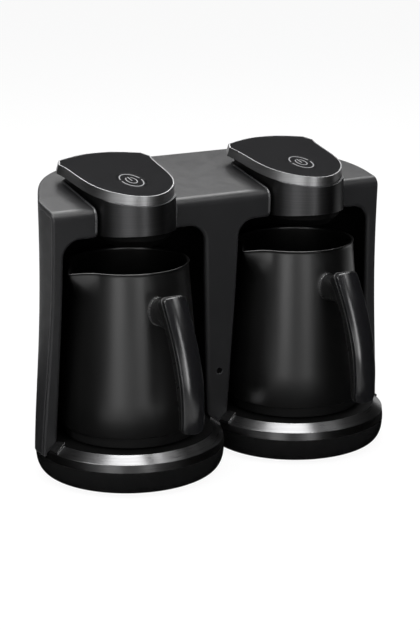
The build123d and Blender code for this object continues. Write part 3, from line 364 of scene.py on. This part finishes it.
def make_pot(side):
    """Pot with a rolled rim and a smooth lip, in place of the CAD pot body."""
    bm = bmesh.new()
    ends = [bm.verts.new((r * MM, 0, z * MM)) for r, z in pot_profile()]
    for first, second in zip(ends, ends[1:]):
        bm.edges.new((first, second))
    bmesh.ops.spin(bm, geom=bm.verts[:] + bm.edges[:], axis=(0, 0, 1), cent=(0, 0, 0),
                   angle=math.tau, steps=POT_STEPS, use_merge=True)
    bmesh.ops.remove_doubles(bm, verts=bm.verts, dist=0.01 * MM)
    for vert in bm.verts:
        draw_spout(vert.co)
    bmesh.ops.recalc_face_normals(bm, faces=bm.faces)
    bmesh.ops.translate(bm, vec=(STATIONS[side], POT_Y, 0), verts=bm.verts)
    for face in bm.faces:
        face.smooth = True
    pot = object_from(bm, f"pot_with_lip_{side}")
    pot.data.materials.append(FINISHES["black_coating"])
    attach(pot, f"pot_{side}")
    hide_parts(f"pot_body_{side}")


for side in STATIONS:
    make_pot(side)


# ---- lips of the casing's notches ----------------------------------------------
LIP_X = 29.1           # from a station's middle to the middle of the lip
LIP_R, LIP_SUNK = 1.0, 0.45
LIP_SIDES = 16
LIP_REAR, LIP_LOW = Vector((0, 48.4, 194.45)), Vector((0, -1.79, 168.6))
LIP_TAPER = 1.2        # length over which an end thins to half
BEND_MIDDLE, BEND_R = Vector((0, 4.03, 179.64)), 6.4
BEND_FROM, BEND_TO, BEND_STEPS = 100.6, 183.0, 12
SIDEWAYS = Vector((1, 0, 0))
# The lip's colour, three times the casing's, is a painted highlight along the notch edges.
LIP_HIGHLIGHT_FINISH = moulded_plastic("lip_satin_painted_highlight", (0.03, 0.03, 0.031), 0.28, 0.8, 0.0006, 0.05, 0.0001)


def lip_path():
    """Edge of a notch on the cover's outside, from the rear over the bend and down."""
    turns = [math.radians(BEND_FROM + (BEND_TO - BEND_FROM) * step / BEND_STEPS)
             for step in range(BEND_STEPS + 1)]
    bend = [BEND_MIDDLE + BEND_R * Vector((0, math.cos(turn), math.sin(turn))) for turn in turns]
    first = LIP_REAR + LIP_TAPER * (bend[0] - LIP_REAR).normalized()
    last = LIP_LOW + LIP_TAPER * (bend[-1] - LIP_LOW).normalized()
    return [LIP_REAR, first, *bend, last, LIP_LOW]


def make_notch_lip(station, hand):
    """Thin rolled lip beside the head; hand is -1 for the notch's left edge, 1 for the right."""
    path = lip_path()
    end = len(path) - 1
    bm = bmesh.new()
    rings = []
    for index, spot in enumerate(path):
        ahead = (path[min(index + 1, end)] - path[max(index - 1, 0)]).normalized()
        outwards = Vector((0, ahead.z, -ahead.y))
        centre = spot - outwards * LIP_SUNK + hand * LIP_X * SIDEWAYS
        turn = Matrix((SIDEWAYS, outwards, SIDEWAYS.cross(outwards))).transposed().to_4x4()
        radius = LIP_R * (0.5 if index in (0, end) else 1.0)
        made = bmesh.ops.create_circle(bm, segments=LIP_SIDES, radius=radius,
                                       matrix=Matrix.Translation(centre) @ turn)
        edges = dict.fromkeys(edge for vert in made["verts"] for edge in vert.link_edges)
        rings.append(list(edges))
    for first, second in zip(rings, rings[1:]):
        bmesh.ops.bridge_loops(bm, edges=first + second)
    bmesh.ops.holes_fill(bm, edges=[edge for edge in bm.edges if edge.is_boundary])
    bmesh.ops.recalc_face_normals(bm, faces=bm.faces)
    bmesh.ops.scale(bm, vec=(MM, MM, MM), verts=bm.verts)
    bmesh.ops.translate(bm, vec=(STATIONS[station], 0, 0), verts=bm.verts)
    for face in bm.faces:
        face.smooth = True
    lip = object_from(bm, f"notch_lip_{station}_{'left' if hand < 0 else 'right'}")
    lip.data.materials.append(LIP_HIGHLIGHT_FINISH)
    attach(lip, "casing")


for station in STATIONS:
    for hand in (-1, 1):
        make_notch_lip(station, hand)


# ---- floor, world and lamps --------------------------------------------------
def background_rays(tree):
    """1 for camera, glossy and transmission rays, which see the plain white background."""
    path = add_node(tree, "ShaderNodeLightPath")
    first = add_node(tree, "ShaderNodeMath", operation="MAXIMUM")
    tree.links.new(path.outputs["Is Camera Ray"], first.inputs[0])
    tree.links.new(path.outputs["Is Glossy Ray"], first.inputs[1])
    second = add_node(tree, "ShaderNodeMath", operation="MAXIMUM")
    tree.links.new(first.outputs[0], second.inputs[0])
    tree.links.new(path.outputs["Is Transmission Ray"], second.inputs[1])
    return second.outputs[0]


WORLD_TINT, WORLD_LIGHT = (0.9, 0.92, 1.0, 1), 0.25
FLOOR_HALF, FLOOR_SHADE = 4.0, (0.85, 0.85, 0.85)
FLOOR_GLOW = 0.93  # share of plain white in the floor; the rest takes the object's shadow


def make_world():
    """Dim light from all sides, plain white as a background."""
    world = bpy.data.worlds.new("studio")
    scene.world = world
    world.use_nodes = True
    tree = world.node_tree
    tree.nodes.clear()
    dim = add_node(tree, "ShaderNodeBackground", Color=WORLD_TINT, Strength=WORLD_LIGHT)
    white = add_node(tree, "ShaderNodeBackground", Color=(1, 1, 1, 1), Strength=1.0)
    mix = add_node(tree, "ShaderNodeMixShader")
    out = add_node(tree, "ShaderNodeOutputWorld")
    tree.links.new(background_rays(tree), mix.inputs[0])
    tree.links.new(dim.outputs[0], mix.inputs[1])
    tree.links.new(white.outputs[0], mix.inputs[2])
    tree.links.new(mix.outputs[0], out.inputs["Surface"])


def make_floor():
    """Pale floor that melts into the white background."""
    bm = bmesh.new()
    bmesh.ops.create_grid(bm, x_segments=1, y_segments=1, size=FLOOR_HALF)
    floor = object_from(bm, "floor")
    mat, tree, paint = material("pale_floor", Base_Color=FLOOR_SHADE, Roughness=0.8,
                                Specular_IOR_Level=0.0)
    glow = add_node(tree, "ShaderNodeEmission", Strength=1.0)
    share = add_node(tree, "ShaderNodeMath", operation="MULTIPLY")
    share.inputs[1].default_value = FLOOR_GLOW
    tree.links.new(background_rays(tree), share.inputs[0])
    mix = add_node(tree, "ShaderNodeMixShader")
    tree.links.new(share.outputs[0], mix.inputs[0])
    tree.links.new(paint.outputs[0], mix.inputs[1])
    tree.links.new(glow.outputs[0], mix.inputs[2])
    tree.links.new(mix.outputs[0], tree.nodes["Material Output"].inputs["Surface"])
    floor.data.materials.append(mat)


TARGET = Vector((0, 0, 0.1))  # the point that lamps and cards face


def from_target(azimuth, elevation, distance):
    """Place seen from the object; azimuth 0 is the front, positive to the right."""
    a, e = math.radians(azimuth), math.radians(elevation)
    towards = Vector((math.sin(a) * math.cos(e), -math.cos(a) * math.cos(e), math.sin(e)))
    return TARGET + distance * towards


def softbox(name, azimuth, elevation, distance, width, height, power):
    """Rectangular lamp aimed at the object."""
    place = from_target(azimuth, elevation, distance)
    data = bpy.data.lights.new(name, "AREA")
    data.shape = "RECTANGLE"
    data.size, data.size_y, data.energy = width, height, power
    lamp = bpy.data.objects.new(name, data)
    lamp.location = place
    lamp.rotation_euler = (TARGET - place).to_track_quat("-Z", "Y").to_euler()
    scene.collection.objects.link(lamp)


def reflected_only(card, shade):
    """Makes a stage card of one shade that only reflections see."""
    mat, tree, _ = material(f"{card.name}_cloth")
    glow = add_node(tree, "ShaderNodeEmission", Strength=1.0, Color=(shade, shade, shade, 1))
    tree.links.new(glow.outputs[0], tree.nodes["Material Output"].inputs["Surface"])
    card.data.materials.append(mat)
    card.visible_camera = card.visible_diffuse = False
    card.visible_shadow = card.visible_transmission = False


def card_shape(width, height):
    bm = bmesh.new()
    bmesh.ops.create_grid(bm, x_segments=1, y_segments=1, size=0.5)
    bmesh.ops.scale(bm, vec=(width, height, 1.0), verts=bm.verts)
    return bm


def flag(name, azimuth, elevation, distance, width, height, shade):
    """Card turned to the object."""
    place = from_target(azimuth, elevation, distance)
    turn = (TARGET - place).to_track_quat("Z", "Y").to_matrix().to_4x4()
    bm = card_shape(width, height)
    bmesh.ops.transform(bm, matrix=Matrix.Translation(place) @ turn, verts=bm.verts)
    reflected_only(object_from(bm, name), shade)


CLOTH_Z, STRIP_Z = 0.0005, 0.001


def floor_flag(radius, shade):
    """Dark cloth around the object's feet, just above the floor."""
    bm = bmesh.new()
    bmesh.ops.create_circle(bm, cap_ends=True, segments=64, radius=radius)
    bmesh.ops.translate(bm, vec=(0, 0, CLOTH_Z), verts=bm.verts)
    reflected_only(object_from(bm, "floor_flag"), shade)


def floor_strip(name, azimuth, near, far, width, shade):
    """Pale strip on the floor, from near to far, that upright walls mirror."""
    bm = card_shape(width, far - near)
    bmesh.ops.translate(bm, vec=(0, -(near + far) / 2, STRIP_Z), verts=bm.verts)
    turn = Matrix.Rotation(math.radians(azimuth), 3, "Z")
    bmesh.ops.rotate(bm, cent=(0, 0, 0), matrix=turn, verts=bm.verts)
    reflected_only(object_from(bm, name), shade)


make_world()
make_floor()
# Name, azimuth, elevation, distance, width, height, power.
SOFTBOXES = (
    ("top_softbox", -22, 76, 1.5, 1.1, 0.9, 25),
    ("left_softbox", -47, 6, 1.7, 0.56, 0.9, 4.0),
    ("high_left_softbox", -76, 40, 1.7, 0.40, 0.5, 12),
    ("front_softbox", -16, 12, 1.8, 0.6, 0.7, 1.4),
    ("bend_softbox", 30, 52, 1.6, 0.8, 0.45, 3),
    ("right_softbox", -7, 19, 1.8, 0.28, 1.4, 4.5),
    ("rear_softbox", 158, 58, 1.6, 1.5, 0.9, 27),
)
for values in SOFTBOXES:
    softbox(*values)
# Name, azimuth, elevation, distance, width, height, shade.
FLAGS = (
    ("ceiling_flag", 0, 89, 2.6, 6.0, 6.0, 0.004),
    ("left_flag", -100, 18, 2.4, 4.4, 3.0, 0.002),
    ("right_flag", 77, 18, 2.4, 5.4, 3.0, 0.003),
    ("front_flag", -10, 18, 2.6, 4.6, 3.0, 0.004),
    ("back_flag", 175, 20, 2.6, 4.6, 3.0, 0.01),
    ("mirrored_flag", 149, 29, 2.4, 1.0, 1.0, 0.08),
    ("low_back_card", 151, 3, 2.2, 1.9, 0.5, 0.8),
)
for values in FLAGS:
    flag(*values)
floor_flag(radius=3.7, shade=0.004)
# Name, azimuth, near, far, width, shade.
FLOOR_STRIPS = (
    ("back_strip", 151, 0.20, 2.1, 1.5, 0.5),
    ("left_strip", -44, 0.20, 1.7, 0.30, 0.7),
    ("front_strip", -14, 0.20, 1.7, 0.34, 0.3),
    ("handle_strip", -4, 0.20, 1.5, 0.12, 1.0),
)
for values in FLOOR_STRIPS:
    floor_strip(*values)
